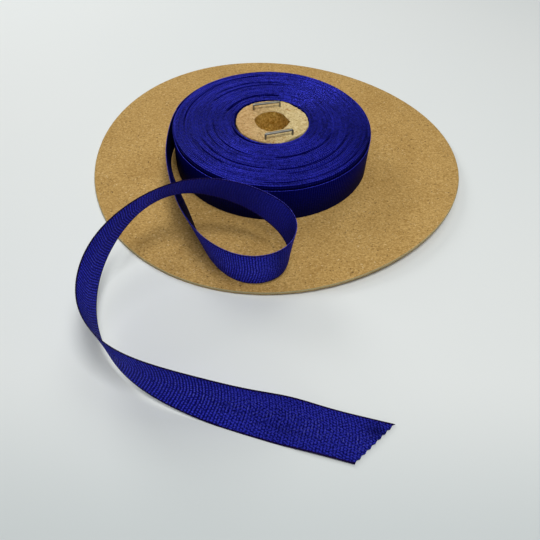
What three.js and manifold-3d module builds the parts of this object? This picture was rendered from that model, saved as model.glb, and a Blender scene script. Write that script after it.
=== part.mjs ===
// A roll of grosgrain ribbon trim, wound on a chipboard core that stands on a card disc.
// The loose end curls once in front of the roll, drops over the disc's rim and lies flat.
//
// Millimetres, +Z up. Everything is modelled about the roll's axis with the disc's
// underside at z = 0. The group is then moved so that the origin is the bottom centre
// of the whole part's box.

import * as THREE from 'three';
import { mergeVertices } from 'three/addons/utils/BufferGeometryUtils.js';
import Module from 'manifold-3d';

const wasm = await Module();
wasm.setup();

const DEGREE = Math.PI / 180;
const GAP = 0.3;

// The card disc, cut by hand: its rim swells a little three times round.
const CARD_RADIUS = 83;
const CARD_THICKNESS = 1.2;
const CARD_CENTRE = new THREE.Vector2(1.9, 0.3);
const CARD_SWELL = 1.5;
const CARD_SWELL_AT = 3 * DEGREE;
const CARD_SWELLS = 3;
const CARD_STEPS = 108;

// The core, a thick chipboard ring with one side sawn flat.
const CORE_RADIUS = 16.1;
const CORE_HEIGHT = 16.7;
const CORE_CENTRE = new THREE.Vector2(0.4, 1.6);
const CORE_SWELL = 0.25;
const CORE_SWELL_AT = 17 * DEGREE;
const CORE_UNEVENNESS = 0.12;
const CORE_FLAT_AT = 308 * DEGREE;
const CORE_FLAT_REACH = 15.3;
const CORE_STEPS = 60;

// The hole through the core and the card, roughly punched, with a chip torn out of it.
const HOLE_RADIUS = 7.5;
const HOLE_ROUGHNESS = 0.15;
const CHIP_DEPTH = 0.8;
const CHIP_SPREAD = 7 * DEGREE;

// The ribbon and the roll that it is wound into. The bore is slack on one side, where the
// first turns stand off the core. The outer turn ends in a step where the loose end leaves.
const RIBBON_WIDTH = 16;
const ROLL_RADIUS = 42.9;
const ROLL_STEPS = 84;
const BORE_RADIUS = 16.9;
const BORE_SLACK = 0.7;
const BORE_SLACK_AT = 232 * DEGREE;
const BORE_SLACK_SHARE = 1 / 3;
const STEP_WIDTH = 0.25 * DEGREE;
const STEP_BEFORE_TAIL = 0.5 * DEGREE;
const GROWTH_POWER = 6;

// The loose end, cut from the same ribbon and made a little thicker than it is.
const TAIL_THICKNESS = 1;
const TAIL_ROOT_AT = 167.6 * DEGREE;
const TAIL_STEPS_PER_STATION = 5;
const TAIL_STEPS_ACROSS = 4;
const CUT_SLANT = 10;
const CUT_STATIONS = 2;
const LEAST_CUP = 1e-6;

// The staples that held a second disc on the core, left standing proud.
const STAPLE_CROWN = 13;
const STAPLE_WIRE_WIDTH = 1.25;
const STAPLE_WIRE_THICKNESS = 0.55;
const STAPLE_PROUD = 2.8;
const STAPLE_DRIVEN = 5;
const STAPLE_CORNER = 0.9;

const CARD_TOP = CARD_THICKNESS;
const SEAT = CARD_TOP + GAP;
const CORE_TOP = SEAT + CORE_HEIGHT;
const TURN_GROWTH = TAIL_THICKNESS + GAP;
const STEP_AT = TAIL_ROOT_AT - STEP_BEFORE_TAIL;

// The roll's section, from the bore outwards over its top. The height is above the roll's
// own foot. Rings of turns stand a little higher or lower than their neighbours, with a
// dark groove between them, and the last turns have slipped down.
const ROLL_TOP = [
  { ring: 'first turns, wall', radius: BORE_RADIUS, height: 16.6 },
  { ring: 'first turns, crown', radius: 18.6, height: 17.1 },
  { ring: 'first turns, edge', radius: 21.6, height: 17.0 },
  { ring: 'deep groove', radius: 22.1, height: 16.0 },
  { ring: 'inner band', radius: 22.7, height: 17.0 },
  { ring: 'inner band, edge', radius: 24.4, height: 17.2 },
  { ring: 'inner groove', radius: 24.8, height: 16.6 },
  { ring: 'middle band', radius: 25.3, height: 17.2 },
  { ring: 'middle band, edge', radius: 31.7, height: 17.1 },
  { ring: 'middle groove', radius: 32.2, height: 16.4 },
  { ring: 'outer band', radius: 32.8, height: 17.1 },
  { ring: 'outer band, edge', radius: 35.2, height: 17.0 },
  { ring: 'outer groove', radius: 35.6, height: 16.5 },
  { ring: 'rim band', radius: 36.1, height: 17.0 },
  { ring: 'rim band, edge', radius: 41.2, height: 16.7 },
  { ring: 'slipped turns', radius: 41.6, height: 15.3 },
  { ring: 'slipped turns, wall', radius: ROLL_RADIUS, height: 15.1 },
];

// The loose end's course along the middle of the ribbon. The first row only guides its
// bend: the sheet starts at the second. The lean is the tilt of the ribbon's width from
// upright, in degrees, positive towards the inside of the curl: 90 is flat on its back.
// The cup is how far the ribbon bends across its width, in degrees.
const TAIL_STATIONS = [
  { place: 'still on the roll', x: -36.9, y: 24, z: 9.7, lean: -2, cup: 0 },
  { place: 'leaves the roll', x: -43.1, y: 9.4, z: 9.7, lean: 0, cup: 0 },
  { place: 'beside the roll', x: -44.7, y: -6.5, z: 9.7, lean: 3, cup: 0 },
  { place: 'drawing away', x: -42.3, y: -22.5, z: 9.7, lean: -8, cup: 0 },
  { place: 'under the crossing', x: -37, y: -38, z: 9.6, lean: -19, cup: 0 },
  { place: 'edge on', x: -31.2, y: -53.2, z: 9.5, lean: -21, cup: 0 },
  { place: 'turning in', x: -23.2, y: -68.2, z: 9.6, lean: -12, cup: 0 },
  { place: 'front of the curl', x: -12, y: -78, z: 10, lean: -4, cup: 0 },
  { place: 'front, right half', x: -1, y: -79.5, z: 10.8, lean: -3, cup: 0 },
  { place: 'right corner', x: 7, y: -75, z: 12, lean: -5, cup: 0 },
  { place: 'right end', x: 9.3, y: -66.5, z: 14, lean: -8, cup: 0 },
  { place: 'turning back', x: 5.1, y: -59, z: 17, lean: 0, cup: 0 },
  { place: 'rising', x: -5.5, y: -53.9, z: 21, lean: 13, cup: 0 },
  { place: 'nearing the crossing', x: -18, y: -52.4, z: 24.6, lean: 23, cup: 0 },
  { place: 'over the first strand', x: -31, y: -54.7, z: 27, lean: 33, cup: 0 },
  { place: 'turning down', x: -43.3, y: -62, z: 26.5, lean: 30, cup: 0 },
  { place: 'over the rim', x: -53.4, y: -73.6, z: 23.2, lean: 14, cup: 0 },
  { place: 'outside the disc', x: -59.1, y: -88, z: 18.6, lean: -4, cup: 0 },
  { place: 'left end', x: -57.7, y: -104, z: 14.2, lean: -13, cup: 0 },
  { place: 'twist', x: -48.5, y: -116.5, z: 11.8, lean: -6, cup: 5 },
  { place: 'rolling over', x: -35, y: -123.7, z: 10, lean: 8, cup: 25 },
  { place: 'half over', x: -18, y: -128, z: 6.6, lean: 27, cup: 45 },
  { place: 'coming down', x: -1.5, y: -130.9, z: 3.1, lean: 48, cup: 60 },
  { place: 'on the table', x: 13.5, y: -134, z: 0.9, lean: 83, cup: 20 },
  { place: 'lying flat', x: 26, y: -137, z: 0.5, lean: 90, cup: 0 },
  { place: 'cut end', x: 39.8, y: -140.4, z: 0.5, lean: 90, cup: 0 },
];

// Each staple by its middle and the turn of its crown.
const STAPLES = [
  { name: 'staple_rear', x: -2, y: 11.6, turn: 15 },
  { name: 'staple_front', x: 3.8, y: -10, turn: 19 },
];

const ribbonCloth = new THREE.MeshStandardMaterial({ color: 0x201a8c, roughness: 0.75, metalness: 0 });
const kraftCard = new THREE.MeshStandardMaterial({ color: 0xb08d50, roughness: 0.9, metalness: 0 });
const chipboard = new THREE.MeshStandardMaterial({ color: 0xdcc08a, roughness: 0.95, metalness: 0 });
const stapleWire = new THREE.MeshStandardMaterial({ color: 0x8f8f8c, roughness: 0.35, metalness: 0.9 });

// A closed body from rings of points. Each ring goes once round the section. The last ring
// joins the first, or both ends are closed by strips that pair a ring's two halves.
function bodyFromRings(rings, endless) {
  const around = rings[0].length;
  const faces = [];
  const quad = (a, b, c, d) => faces.push(a, b, c, a, c, d);
  const spans = endless ? rings.length : rings.length - 1;
  for (let i = 0; i < spans; i += 1) {
    const here = i * around;
    const next = ((i + 1) % rings.length) * around;
    for (let k = 0; k < around; k += 1) {
      const up = (k + 1) % around;
      quad(here + k, next + k, next + up, here + up);
    }
  }
  if (!endless) {
    const last = (rings.length - 1) * around;
    for (let k = 0; k < around / 2 - 1; k += 1) {
      const across = around - 1 - k;
      quad(k, k + 1, across - 1, across);
      quad(last + across, last + across - 1, last + k + 1, last + k);
    }
  }
  const geometry = new THREE.BufferGeometry();
  const places = rings.flat().flatMap((p) => [p.x, p.y, p.z]);
  geometry.setAttribute('position', new THREE.Float32BufferAttribute(places, 3));
  geometry.setIndex(faces);
  geometry.computeVertexNormals();
  return geometry;
}

// A closed outline from a radius that changes with the angle.
function outline(centre, steps, radiusAt, PathType) {
  const points = [];
  for (let i = 0; i < steps; i += 1) {
    const angle = (i / steps) * 2 * Math.PI;
    const radius = radiusAt(angle);
    points.push(new THREE.Vector2(radius * Math.cos(angle), radius * Math.sin(angle)).add(centre));
  }
  return new PathType(points);
}

function cardRadius(angle) {
  return CARD_RADIUS + CARD_SWELL * Math.cos(CARD_SWELLS * (angle - CARD_SWELL_AT));
}

// The core swells a little on the right and is cut by a chord at its flat side.
function coreRadius(angle) {
  const swell = CORE_SWELL * Math.cos(angle - CORE_SWELL_AT);
  const round = CORE_RADIUS + swell + CORE_UNEVENNESS * Math.cos(5 * angle);
  const offFlat = Math.cos(angle - CORE_FLAT_AT);
  return offFlat > 0 ? Math.min(round, CORE_FLAT_REACH / offFlat) : round;
}

// The hole is a little uneven, with a small chip torn out on its right.
function holeRadius(angle) {
  const offChip = 2 * Math.sin(angle / 2);
  const chip = CHIP_DEPTH * Math.exp(-((offChip / CHIP_SPREAD) ** 2));
  const rough = HOLE_ROUGHNESS * (Math.cos(4 * angle + 1) + Math.cos(7 * angle) / 2);
  return HOLE_RADIUS + rough + chip;
}

function plate(radiusAt, centre, steps, thickness) {
  const shape = outline(centre, steps, radiusAt, THREE.Shape);
  shape.holes.push(outline(CORE_CENTRE, CORE_STEPS, holeRadius, THREE.Path));
  return new THREE.ExtrudeGeometry(shape, { depth: thickness, bevelEnabled: false });
}

function asSolid(geometry) {
  const bare = geometry.clone();
  bare.deleteAttribute('normal');
  bare.deleteAttribute('uv');
  const merged = mergeVertices(bare, 1e-4);
  const vertProperties = new Float32Array(merged.attributes.position.array);
  const triVerts = new Uint32Array(merged.index.array);
  return new wasm.Manifold(new wasm.Mesh({ numProp: 3, vertProperties, triVerts }));
}

function fromSolid(solid) {
  const mesh = solid.getMesh();
  const geometry = new THREE.BufferGeometry();
  geometry.setAttribute('position', new THREE.BufferAttribute(new Float32Array(mesh.vertProperties), 3));
  geometry.setIndex(new THREE.BufferAttribute(new Uint32Array(mesh.triVerts), 1));
  geometry.computeVertexNormals();
  return geometry;
}

// Sets a shape that was made about a staple's middle in that staple's place.
function placeAtStaple(geometry, staple) {
  geometry.rotateZ(staple.turn * DEGREE);
  geometry.translate(staple.x, staple.y, 0);
  return geometry;
}

function makeCardDisc() {
  return plate(cardRadius, CARD_CENTRE, CARD_STEPS, CARD_THICKNESS);
}

// The core, with a slot round each staple leg that is driven into it.
function makeCore() {
  const block = plate(coreRadius, CORE_CENTRE, CORE_STEPS, CORE_HEIGHT);
  block.translate(0, 0, SEAT);
  let core = asSolid(block);
  const slotLength = STAPLE_WIRE_THICKNESS + 2 * GAP;
  const slotWidth = STAPLE_WIRE_WIDTH + 2 * GAP;
  const slotDepth = STAPLE_DRIVEN + GAP;
  const legAt = (STAPLE_CROWN - STAPLE_WIRE_THICKNESS) / 2;
  for (const staple of STAPLES) {
    for (const side of [-1, 1]) {
      const slot = new THREE.BoxGeometry(slotLength, slotWidth, 2 * slotDepth);
      slot.translate(side * legAt, 0, CORE_TOP);
      core = core.subtract(asSolid(placeAtStaple(slot, staple)));
    }
  }
  return fromSolid(core);
}

// How far the roll's outer turn has grown at an angle. The growth of one turn ends in the
// step where the loose end leaves.
function growthAt(angle) {
  return (TURN_GROWTH * (angle - STEP_AT)) / (2 * Math.PI);
}

// A point of the roll's section at an angle. The bore follows the core, which sits a little
// off the roll's axis, and only the outer turns feel the growth.
function rollPoint(angle, radius, height) {
  const outward = (radius - BORE_RADIUS) / (ROLL_RADIUS - BORE_RADIUS);
  const slackSide = Math.max(Math.cos(angle - BORE_SLACK_AT), 0) ** 2;
  const slack = BORE_SLACK * slackSide * Math.max(1 - outward / BORE_SLACK_SHARE, 0);
  const grown = radius + slack + growthAt(angle) * outward ** GROWTH_POWER;
  const x = grown * Math.cos(angle) + CORE_CENTRE.x * (1 - outward);
  const y = grown * Math.sin(angle) + CORE_CENTRE.y * (1 - outward);
  return new THREE.Vector3(x, y, SEAT + height);
}

// The wound body: one section carried round the axis.
function makeRibbonRoll() {
  const rings = [];
  for (let i = 0; i <= ROLL_STEPS; i += 1) {
    const angle = STEP_AT + (i / ROLL_STEPS) * (2 * Math.PI - STEP_WIDTH);
    const top = ROLL_TOP.map((row) => rollPoint(angle, row.radius, row.height));
    const outerFoot = rollPoint(angle, ROLL_RADIUS, 0);
    const innerFoot = rollPoint(angle, BORE_RADIUS, 0);
    rings.push([outerFoot, ...top.reverse(), innerFoot]);
  }
  return bodyFromRings(rings, true);
}

// The shares of four neighbouring rows in a cubic B-spline, a part t of the way along.
function splineShares(t) {
  return [
    (1 - t) ** 3 / 6,
    (3 * t ** 3 - 6 * t ** 2 + 4) / 6,
    (-3 * t ** 3 + 3 * t ** 2 + 3 * t + 1) / 6,
    t ** 3 / 6,
  ];
}

// A smooth curve through rows of numbers: a cubic B-spline whose control rows are the
// stations, each pushed out by what the spline would pull in. The ends run on straight.
function smoothRows(rows, stepsPerRow) {
  const blend = (list, shares, c) => shares.reduce((sum, share, j) => sum + share * list[j][c], 0);
  const mix = (list, shares) => list[0].map((_, c) => blend(list, shares, c));
  const runOn = (end, next) => mix([end, next], [2, -1]);
  const extend = (list) => [runOn(list[0], list[1]), ...list, runOn(list.at(-1), list.at(-2))];
  const padded = extend(rows);
  const control = rows.map((row, i) => mix([padded[i], row, padded[i + 2]], [-1 / 6, 8 / 6, -1 / 6]));
  const all = extend(control);
  const curve = [];
  const last = (rows.length - 1) * stepsPerRow;
  for (let k = 0; k <= last; k += 1) {
    const span = Math.min(Math.floor(k / stepsPerRow), rows.length - 2);
    curve.push(mix(all.slice(span, span + 4), splineShares(k / stepsPerRow - span)));
  }
  return curve;
}

// One direction turned towards another by an angle.
function turned(direction, towards, angle) {
  return direction.clone().multiplyScalar(Math.cos(angle)).addScaledVector(towards, Math.sin(angle));
}

// The ribbon's own frame at each step: the way it runs, its width and its face.
function tailFrames() {
  const rows = TAIL_STATIONS.map((s) => [s.x, s.y, s.z, s.lean * DEGREE, s.cup * DEGREE]);
  const course = smoothRows(rows, TAIL_STEPS_PER_STATION);
  const middles = course.map(([x, y, z]) => new THREE.Vector3(x, y, z));
  const up = new THREE.Vector3(0, 0, 1);
  const frames = middles.map((middle, i) => {
    const [lean, cup] = course[i].slice(3);
    const from = middles[Math.max(i - 1, 0)];
    const to = middles[Math.min(i + 1, middles.length - 1)];
    const run = to.clone().sub(from).normalize();
    const inward = up.clone().cross(run).normalize();
    const upward = run.clone().cross(inward);
    const width = turned(upward, inward, lean);
    const face = turned(inward, upward, -lean);
    return { middle, run, width, face, cup: cup / 2 };
  });
  return frames.slice(TAIL_STEPS_PER_STATION);
}

// A point of the ribbon's middle surface, across its width from -1 at the lower edge to 1 at
// the upper one, and its normal there. A cupped ribbon bends along an arc.
function tailPoint(frame, across) {
  const { middle, width, face } = frame;
  const cup = Math.max(frame.cup, LEAST_CUP);
  const radius = RIBBON_WIDTH / 2 / cup;
  const turn = cup * across;
  const point = middle.clone().addScaledVector(width, radius * Math.sin(turn));
  point.addScaledVector(face, radius * (Math.cos(turn) - 1));
  return { point, normal: turned(face, width, turn) };
}

// The loose end: a sheet with two faces, whose far end is cut on the slant, so the lower edge
// ends first. Where the sheet would dip into the table it is lifted to rest on it.
function makeRibbonTail() {
  const frames = tailFrames();
  const slantSteps = CUT_STATIONS * TAIL_STEPS_PER_STATION;
  const slantFrom = frames.length - 1 - slantSteps;
  const rings = frames.map((frame, i) => {
    const slant = (CUT_SLANT * Math.max(i - slantFrom, 0)) / slantSteps;
    const inner = [];
    const outer = [];
    for (let k = 0; k <= TAIL_STEPS_ACROSS; k += 1) {
      const across = (2 * k) / TAIL_STEPS_ACROSS - 1;
      const { point, normal } = tailPoint(frame, across);
      const offset = normal.multiplyScalar(TAIL_THICKNESS / 2);
      point.addScaledVector(frame.run, (-slant * (1 - across)) / 2);
      point.z = Math.max(point.z, Math.abs(offset.z));
      outer.push(point.clone().sub(offset));
      inner.unshift(point.clone().add(offset));
    }
    return [...outer, ...inner];
  });
  return bodyFromRings(rings, false);
}

// A staple of flat wire: a crown with two legs that run down into the core.
function makeStaple(staple) {
  const half = STAPLE_CROWN / 2;
  const top = STAPLE_PROUD;
  const inside = half - STAPLE_WIRE_THICKNESS;
  const under = top - STAPLE_WIRE_THICKNESS;
  const innerCorner = STAPLE_CORNER - STAPLE_WIRE_THICKNESS;
  const shape = new THREE.Shape();
  shape.moveTo(-half, -STAPLE_DRIVEN);
  shape.lineTo(-inside, -STAPLE_DRIVEN);
  shape.lineTo(-inside, under - innerCorner);
  shape.quadraticCurveTo(-inside, under, -inside + innerCorner, under);
  shape.lineTo(inside - innerCorner, under);
  shape.quadraticCurveTo(inside, under, inside, under - innerCorner);
  shape.lineTo(inside, -STAPLE_DRIVEN);
  shape.lineTo(half, -STAPLE_DRIVEN);
  shape.lineTo(half, top - STAPLE_CORNER);
  shape.quadraticCurveTo(half, top, half - STAPLE_CORNER, top);
  shape.lineTo(-half + STAPLE_CORNER, top);
  shape.quadraticCurveTo(-half, top, -half, top - STAPLE_CORNER);
  shape.closePath();
  const options = { depth: STAPLE_WIRE_WIDTH, bevelEnabled: false, curveSegments: 4 };
  const wire = new THREE.ExtrudeGeometry(shape, options);
  wire.translate(0, 0, -STAPLE_WIRE_WIDTH / 2);
  wire.rotateX(90 * DEGREE);
  wire.translate(0, 0, CORE_TOP);
  return placeAtStaple(wire, staple);
}

function piece(name, geometry, material) {
  const mesh = new THREE.Mesh(geometry, material);
  mesh.name = name;
  return mesh;
}

const ribbonTrim = new THREE.Group();
ribbonTrim.add(piece('card_disc', makeCardDisc(), kraftCard));
ribbonTrim.add(piece('core', makeCore(), chipboard));
ribbonTrim.add(piece('ribbon_roll', makeRibbonRoll(), ribbonCloth));
ribbonTrim.add(piece('ribbon_tail', makeRibbonTail(), ribbonCloth));
for (const staple of STAPLES) {
  ribbonTrim.add(piece(staple.name, makeStaple(staple), stapleWire));
}

const box = new THREE.Box3().setFromObject(ribbonTrim);
const middle = box.getCenter(new THREE.Vector3());
ribbonTrim.position.set(-middle.x, -middle.y, -box.min.z);
ribbonTrim.updateMatrixWorld(true);

export default ribbonTrim;
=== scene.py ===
# %% [markdown]
# # A roll of ribbon trim
#
# The object is a short roll of ribbed blue ribbon on a chipboard core. It lies on a round
# card disc, and its loose end curls once in front and comes to rest flat on the table. Each
# step says what the piece is, how it could be made, and why it is made this way.

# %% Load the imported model
import math

import bmesh
import bpy
import numpy as np
from mathutils import Matrix, Vector, noise


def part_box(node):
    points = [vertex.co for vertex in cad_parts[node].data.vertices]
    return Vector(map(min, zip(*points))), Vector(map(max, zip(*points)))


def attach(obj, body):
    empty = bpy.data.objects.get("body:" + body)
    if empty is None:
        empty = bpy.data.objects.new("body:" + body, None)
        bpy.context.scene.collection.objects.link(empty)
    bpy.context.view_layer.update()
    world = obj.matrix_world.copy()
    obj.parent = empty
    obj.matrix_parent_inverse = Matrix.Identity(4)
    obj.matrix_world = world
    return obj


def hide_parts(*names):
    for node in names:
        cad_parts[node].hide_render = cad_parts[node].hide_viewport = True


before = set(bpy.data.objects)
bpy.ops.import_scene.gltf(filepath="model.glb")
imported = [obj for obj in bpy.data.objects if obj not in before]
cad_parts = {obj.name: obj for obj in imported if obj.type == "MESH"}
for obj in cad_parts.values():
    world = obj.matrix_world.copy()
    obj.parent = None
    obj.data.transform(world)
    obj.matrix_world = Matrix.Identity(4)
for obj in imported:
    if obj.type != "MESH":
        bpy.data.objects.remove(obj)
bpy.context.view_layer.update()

print("solids:", sorted(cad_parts))

# %% [markdown]
# ## Where things are
#
# Every piece is made in metres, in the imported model's own frame. The tables of the disc, the
# core and the ribbon hold millimetres and degrees. The roll's axis is the handiest point to
# measure from. It could be typed in as a number. It is found from the front staple instead,
# whose place beside the axis is known, so that it stays right if the model moves.

# %% Find the roll's axis
MM = 0.001


def rows(columns, *table):
    """A table of numbers as a list of rows with named columns."""
    return [dict(zip(columns.split(), numbers)) for numbers in table]


STAPLES = {
    "staple_rear": {"x": -2 * MM, "y": 11.6 * MM, "turn": math.radians(15)},
    "staple_front": {"x": 3.8 * MM, "y": -10 * MM, "turn": math.radians(19)},
}

low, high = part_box("staple_front")
staple_middle = (low + high) / 2
beside_axis = STAPLES["staple_front"]
AXIS = np.array([staple_middle.x - beside_axis["x"], staple_middle.y - beside_axis["y"], 0])
CARD_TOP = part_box("card_disc")[1].z
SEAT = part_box("ribbon_roll")[0].z
CORE_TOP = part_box("core")[1].z
print("roll axis at", AXIS.round(5), "card top", round(CARD_TOP, 5), "core top", round(CORE_TOP, 5))

# %% [markdown]
# ## The camera
#
# The photo looks down at about 50 degrees from the front. A camera could be aimed by eye.
# This one was fitted to the outlines of the disc, the roll and the core, so its lens, its
# place and the three turns below put each of them where it is in the photo.

# %% Set up the camera
def add_object(name, data):
    """A new object in the scene."""
    piece = bpy.data.objects.new(name, data)
    bpy.context.scene.collection.objects.link(piece)
    return piece


FROM_AXIS = Vector((0, -0.208708, 0.160648))
camera_data = bpy.data.cameras.new("camera")
camera_data.lens = 36.667
camera_data.sensor_width = 36
camera_data.clip_start = 0.01
camera = add_object("camera", camera_data)
camera.location = Vector(AXIS) + FROM_AXIS
turn = Matrix.Rotation(math.radians(-0.617), 3, "Z")
tilt = Matrix.Rotation(math.radians(40.72), 3, "X")
roll = Matrix.Rotation(math.radians(2.227), 3, "Z")
camera.rotation_euler = (turn @ tilt @ roll).to_euler()
bpy.context.scene.camera = camera
print("camera at", camera.location)

# %% [markdown]
# ## Wiring up node trees
#
# Materials and Geometry Nodes are both trees of nodes. They could be drawn by hand in the
# editor. In a script, a small class makes them readable: a Wire is one output of a node, and
# arithmetic on wires adds the Math nodes. The Graph's node() adds every other kind.

# %% Wires and graphs
class Wire:
    """One output of a node. Arithmetic on it adds Math nodes."""

    def __init__(self, graph, socket):
        self.graph = graph
        self.socket = socket

    def __add__(self, other):
        return self.graph.math("ADD", self, other)

    __radd__ = __add__

    def __sub__(self, other):
        return self.graph.math("SUBTRACT", self, other)

    def __rsub__(self, other):
        return self.graph.math("SUBTRACT", other, self)

    def __mul__(self, other):
        return self.graph.math("MULTIPLY", self, other)

    __rmul__ = __mul__

    def __truediv__(self, other):
        return self.graph.math("DIVIDE", self, other)

    def __pow__(self, other):
        return self.graph.math("POWER", self, other)


class Graph:
    """A node tree that is being wired up."""

    def __init__(self, tree):
        self.tree = tree

    def node(self, kind, settings=None, inputs=None, output=0):
        """Adds a node: its settings first, then the values or wires of its inputs."""
        node = self.tree.nodes.new(kind)
        for name, value in (settings or {}).items():
            if name == "curve":
                set_curve(node.mapping, value)
            else:
                setattr(node, name, value)
        for name, value in (inputs or {}).items():
            if isinstance(value, Wire):
                self.tree.links.new(value.socket, node.inputs[name])
            else:
                node.inputs[name].default_value = value
        return Wire(self, node.outputs[output]) if node.outputs else None

    def math(self, operation, first, second=0.0):
        return self.node("ShaderNodeMath", {"operation": operation}, {0: first, 1: second})

    def within(self, value, start, end):
        """A smooth mask: 0 at start, 1 at end."""
        settings = {"interpolation_type": "SMOOTHSTEP"}
        inputs = {"Value": value, "From Min": start, "From Max": end}
        return self.node("ShaderNodeMapRange", settings, inputs)

    def mix(self, factor, first, second):
        """Two colours mixed by a factor. A Mix node's colours are its inputs 6 and 7 and its output 2."""
        return self.node("ShaderNodeMix", {"data_type": "RGBA"}, {0: factor, 6: first, 7: second}, 2)

    def vector(self, x, y, z):
        return self.node("ShaderNodeCombineXYZ", None, {0: x, 1: y, 2: z})

    def place(self):
        """Where a point is, in metres."""
        return self.node("ShaderNodeTexCoord", output="Object")

    def coordinate(self, where, axis):
        return self.node("ShaderNodeSeparateXYZ", None, {0: where}, axis)

    def noise(self, where, scale, detail=2.0, roughness=0.5):
        inputs = {"Vector": where, "Scale": scale, "Detail": detail, "Roughness": roughness}
        return self.node("ShaderNodeTexNoise", None, inputs)

    def bump(self, strength, distance, height):
        inputs = {"Strength": strength, "Distance": distance, "Height": height}
        return self.node("ShaderNodeBump", None, inputs)

    def fibres(self, where, turned, scale):
        """Noise that is drawn out one way, for grain and fibres."""
        inputs = {"Vector": where, "Rotation": (0, 0, turned), "Scale": scale}
        return self.noise(self.node("ShaderNodeMapping", None, inputs), 1, 3, 0.65)


def set_curve(mapping, points):
    """A float curve through the points, with straight stretches between them."""
    curve = mapping.curves[0]
    for extra in range(len(points) - len(curve.points)):
        curve.points.new(0.5, 0.5)
    for point, place in zip(curve.points, points):
        point.location = place
        point.handle_type = "VECTOR"
    mapping.update()


# %% [markdown]
# ## Making meshes from rings
#
# A disc, a core, a wire and a ribbon are all one closed line carried along another. Each
# could be a primitive with modifiers. Rings of points worked out by a function give exact
# sizes, and one helper joins them up.

# %% Join rings into a closed mesh
def skin(name, rings, endless, material):
    """A closed object from rings of points: the last ring joins the first, or both are capped.

    A cap joins each point of a ring to the one that faces it, as on the two sides of a strip.
    """
    count, around = rings.shape[:2]
    index = np.arange(count * around).reshape(count, around)
    here = index if endless else index[:-1]
    ahead = np.roll(index, -1, axis=0) if endless else index[1:]
    quads = np.stack([here, ahead, np.roll(ahead, -1, axis=1), np.roll(here, -1, axis=1)], axis=-1)
    faces = quads.reshape(-1, 4).tolist()
    if not endless:
        half = around // 2
        for ring in (index[0], index[-1]):
            for k in range(half - 1):
                faces.append([ring[k], ring[k + 1], ring[around - 2 - k], ring[around - 1 - k]])
    mesh = bpy.data.meshes.new(name)
    mesh.from_pydata(rings.reshape(-1, 3).tolist(), [], faces)
    mesh.materials.append(material)
    return add_object(name, mesh)


def store(piece, name, values):
    """Keeps one number for each point of the mesh under a name."""
    attribute = piece.data.attributes.new(name, "FLOAT", "POINT")
    attribute.data.foreach_set("value", np.asarray(values, np.float32).ravel())


def finish_mesh(piece, sharp_angle=math.radians(35)):
    """Merges doubles, turns the faces outwards and shades them smooth between sharp edges."""
    work = bmesh.new()
    work.from_mesh(piece.data)
    bmesh.ops.remove_doubles(work, verts=work.verts, dist=1e-6)
    bmesh.ops.recalc_face_normals(work, faces=work.faces)
    for face in work.faces:
        face.smooth = True
    for edge in work.edges:
        edge.smooth = edge.calc_face_angle(0) < sharp_angle
    open_edges = sum(1 for edge in work.edges if not edge.is_manifold)
    work.to_mesh(piece.data)
    work.free()
    triangles = sum(len(p.vertices) - 2 for p in piece.data.polygons)
    print(piece.name, "has", triangles, "triangles and", open_edges, "open edges")


def ride_and_replace(piece, node):
    """Makes the finished piece stand for its solid."""
    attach(piece, "root")
    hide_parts(node)


# %% [markdown]
# ## Kraft card
#
# The disc is kraft card: pressed brown fibres, matt, with a fine mottle, a slight grain in
# one direction, and small dark and pale flecks. Its cut edge is greyer. A photo texture
# would carry its own light. Broad and fine noise give the mottle, stretched noise the grain,
# and thresholds on more noise the flecks. A number kept at each point of the mesh says where
# its cut edge is.

# %% Start and end a material
def new_material(name):
    material = bpy.data.materials.new(name)
    material.use_nodes = True
    material.node_tree.nodes.clear()
    return material, Graph(material.node_tree)


def kept_number(graph, name):
    """Reads a number that the mesh keeps at each of its points."""
    return graph.node("ShaderNodeAttribute", {"attribute_name": name}, output="Fac")


def surface(graph, inputs):
    """Adds the shader and joins it to the material's output."""
    shader = graph.node("ShaderNodeBsdfPrincipled", None, inputs)
    graph.node("ShaderNodeOutputMaterial", None, {"Surface": shader})
    print("the material has", len(graph.tree.nodes), "nodes")


# %% The card's material
CARD_COLOURS = {
    "light": (0.7, 0.46, 0.165, 1),
    "dark": (0.34, 0.19, 0.045, 1),
    "dark fleck": (0.13, 0.07, 0.02, 1),
    "pale fleck": (0.8, 0.62, 0.34, 1),
    "cut edge": (0.36, 0.34, 0.2, 1),
}
card_material, graph = new_material("kraft_card")
place = graph.place()
cloudy = graph.noise(place, 45, 3)
mottle = graph.noise(place, 1300, 3, 0.65)
grain = graph.fibres(place, 0.5, (800, 1500, 900))
tone = graph.within(cloudy * 0.2 + mottle * 0.65 + grain * 0.5, 0.45, 0.98)
colour = graph.mix(tone, CARD_COLOURS["dark"], CARD_COLOURS["light"])
dark_fleck = graph.within(graph.noise(place, 1000, 2), 0.64, 0.69)
pale_fleck = graph.within(graph.noise(place, 1200, 2), 0.66, 0.71)
colour = graph.mix(dark_fleck * 0.75, colour, CARD_COLOURS["dark fleck"])
colour = graph.mix(pale_fleck * 0.6, colour, CARD_COLOURS["pale fleck"])
cut_edge = kept_number(graph, "cut_edge")
colour = graph.mix(cut_edge * 0.85, colour, CARD_COLOURS["cut edge"])
relief = graph.bump(0.5, 0.12 * MM, mottle + grain)
surface(graph, {"Base Color": colour, "Roughness": 0.9, "Normal": relief, "Specular IOR Level": 0.2})

# %% [markdown]
# ## The card disc
#
# The disc was cut roughly by hand, so its edge swells three times round and is a little
# worn, and its front right side is lifted off the table. A flattened cylinder would show
# none of this. Its section is one loop instead: out along the underside, round the cut edge
# and back over the top to the hole. The loop's outer points are raised at the lifted side.

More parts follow.
